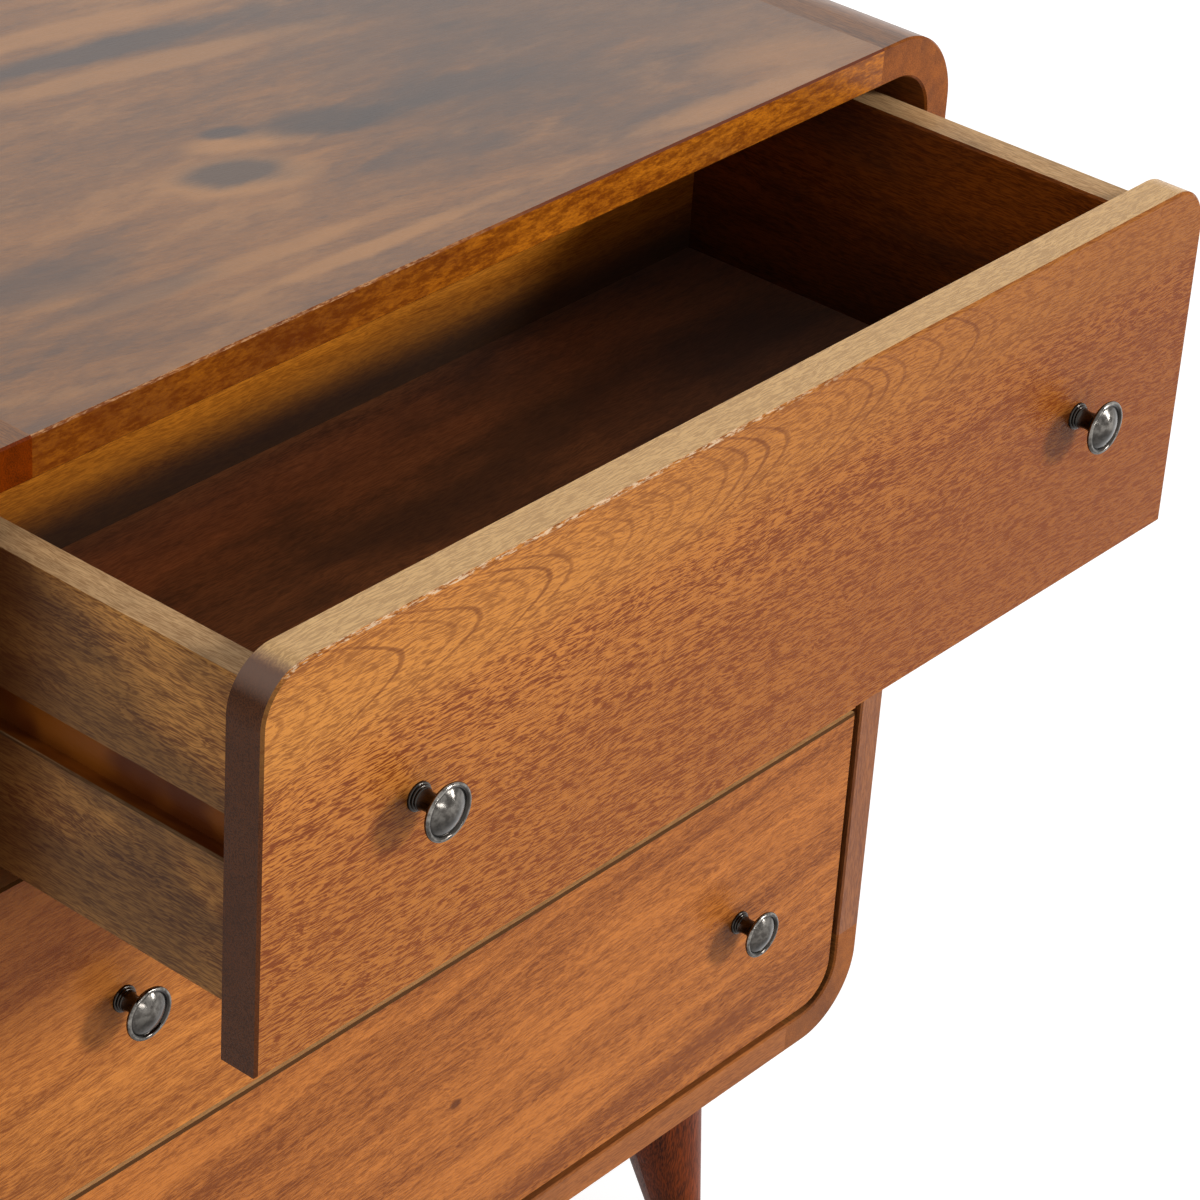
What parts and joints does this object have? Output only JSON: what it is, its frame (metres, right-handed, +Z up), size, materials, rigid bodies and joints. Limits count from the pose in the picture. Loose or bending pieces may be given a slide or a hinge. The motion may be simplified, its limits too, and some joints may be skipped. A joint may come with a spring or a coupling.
{
  "type": "chest of drawers",
  "caption": "Chest of drawers with a rounded carcass, inset flat fronts on wooden runners, turned metal knobs and splayed round legs.",
  "frame": {"origin": "on the floor under the middle of the whole chest as it is stored, with its top drawer partly open", "axes": "+X to the right of someone facing the chest, +Y to its back, +Z up"},
  "size_m": [0.8, 0.621, 0.895],
  "materials": {
    "chestnut_wood": "chestnut-stained solid hardwood, satin lacquer",
    "drawer_wood": "plain solid hardwood, thin stain, matt",
    "leg_wood": "dark-stained turned hardwood, satin lacquer",
    "plywood": "stained plywood, matt",
    "pewter": "dark antique nickel on cast metal, polished on the high spots"
  },
  "bodies": {
    "carcass": {"top_board": "chestnut_wood", "bottom_board": "chestnut_wood", "left_side_board": "chestnut_wood", "right_side_board": "chestnut_wood", "top_left_corner_block": "chestnut_wood", "top_right_corner_block": "chestnut_wood", "bottom_left_corner_block": "chestnut_wood", "bottom_right_corner_block": "chestnut_wood", "corner_splines": "plywood", "back_panel": "plywood", "top_left_runner": "drawer_wood", "top_right_runner": "drawer_wood", "middle_left_runner": "drawer_wood", "middle_right_runner": "drawer_wood", "bottom_left_runner": "drawer_wood", "bottom_right_runner": "drawer_wood", "legs": "leg_wood"},
    "top_drawer": {"top_drawer_front": "chestnut_wood", "top_drawer_left_side": "drawer_wood", "top_drawer_right_side": "drawer_wood", "top_drawer_back": "drawer_wood", "top_drawer_bottom": "plywood", "top_drawer_knobs": "pewter"},
    "middle_drawer": {"middle_drawer_front": "chestnut_wood", "middle_drawer_left_side": "drawer_wood", "middle_drawer_right_side": "drawer_wood", "middle_drawer_back": "drawer_wood", "middle_drawer_bottom": "plywood", "middle_drawer_knobs": "pewter"},
    "bottom_drawer": {"bottom_drawer_front": "chestnut_wood", "bottom_drawer_left_side": "drawer_wood", "bottom_drawer_right_side": "drawer_wood", "bottom_drawer_back": "drawer_wood", "bottom_drawer_bottom": "plywood", "bottom_drawer_knobs": "pewter"}
  },
  "joints": [
    {"name": "top_drawer_slide", "type": "slide", "parent": "carcass", "child": "top_drawer", "axis": [0, -1, 0], "range_m": [-0.199, 0.061]},
    {"name": "middle_drawer_slide", "type": "slide", "parent": "carcass", "child": "middle_drawer", "axis": [0, -1, 0], "range_m": [0, 0.26]},
    {"name": "bottom_drawer_slide", "type": "slide", "parent": "carcass", "child": "bottom_drawer", "axis": [0, -1, 0], "range_m": [0, 0.26]}
  ]
}
